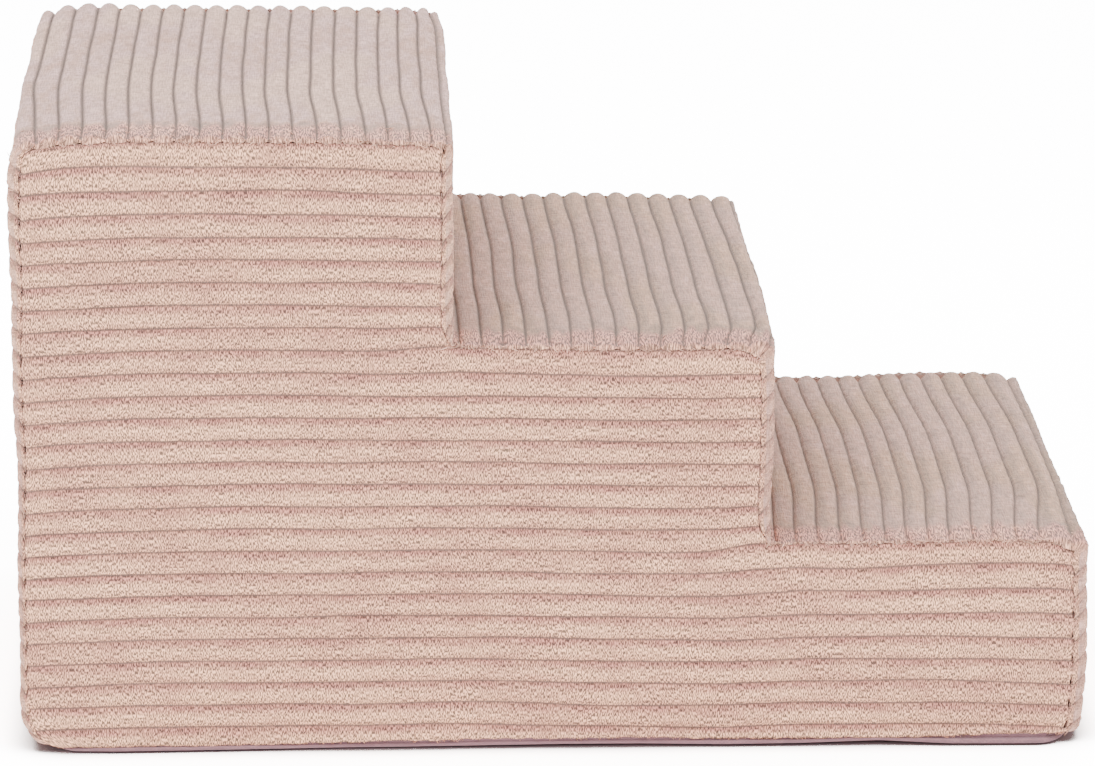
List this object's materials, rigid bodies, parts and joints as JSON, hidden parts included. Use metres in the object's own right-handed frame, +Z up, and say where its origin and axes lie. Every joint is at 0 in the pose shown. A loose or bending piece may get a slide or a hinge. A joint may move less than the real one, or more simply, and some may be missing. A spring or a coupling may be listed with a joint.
{
  "type": "pet stairs",
  "caption": "Foam pet stairs with a deep top tread, in a zipped wide-wale plush cover with a non-slip base cloth.",
  "frame": {"origin": "on the floor, at the centre of the bounding box's underside", "axes": "+X along the length from the tall back towards the lowest step, +Y across the width towards the side with the zip, +Z up"},
  "size_m": [0.68, 0.4, 0.4],
  "materials": {
    "plush": "wide-wale plush, blush pink",
    "base_cloth": "woven cloth, dusty mauve",
    "foam": "open-cell foam",
    "grip_dots": "soft silicone",
    "thread": "twisted sewing thread",
    "zip_tape": "woven tape",
    "zip_coil": "nylon coil",
    "zip_metal": "enamelled, satin"
  },
  "bodies": {
    "stairs": {"foam_slab_lower": "foam", "foam_slab_middle": "foam", "foam_slab_upper": "foam", "side_panel_near": "plush", "side_panel_far": "plush", "back_panel": "plush", "step_cover_top": "plush", "step_cover_middle": "plush", "step_cover_lower": "plush", "base_cloth_panel": "base_cloth", "grip_dots": "grip_dots", "seam_thread_near": "thread", "seam_thread_far": "thread", "seam_thread_back": "thread", "seam_thread_base": "thread", "zip_tape_upper": "zip_tape", "zip_tape_lower": "zip_tape", "zip_coil_upper": "zip_coil", "zip_coil_lower": "zip_coil", "zip_end_stops": "zip_metal"},
    "slider": {"zip_slider": "zip_metal"},
    "pull": {"zip_pull_tab": "zip_metal"}
  },
  "joints": [
    {"name": "slider_travel", "type": "slide", "parent": "stairs", "child": "slider", "axis": [1, 0, 0], "range_m": [0, 0.6186]},
    {"name": "pull_swing", "type": "hinge", "parent": "slider", "child": "pull", "pos_m": [-0.3093, 0.1971, 0.0056], "axis": [0, 0, 1], "range_deg": [0, 180]}
  ]
}
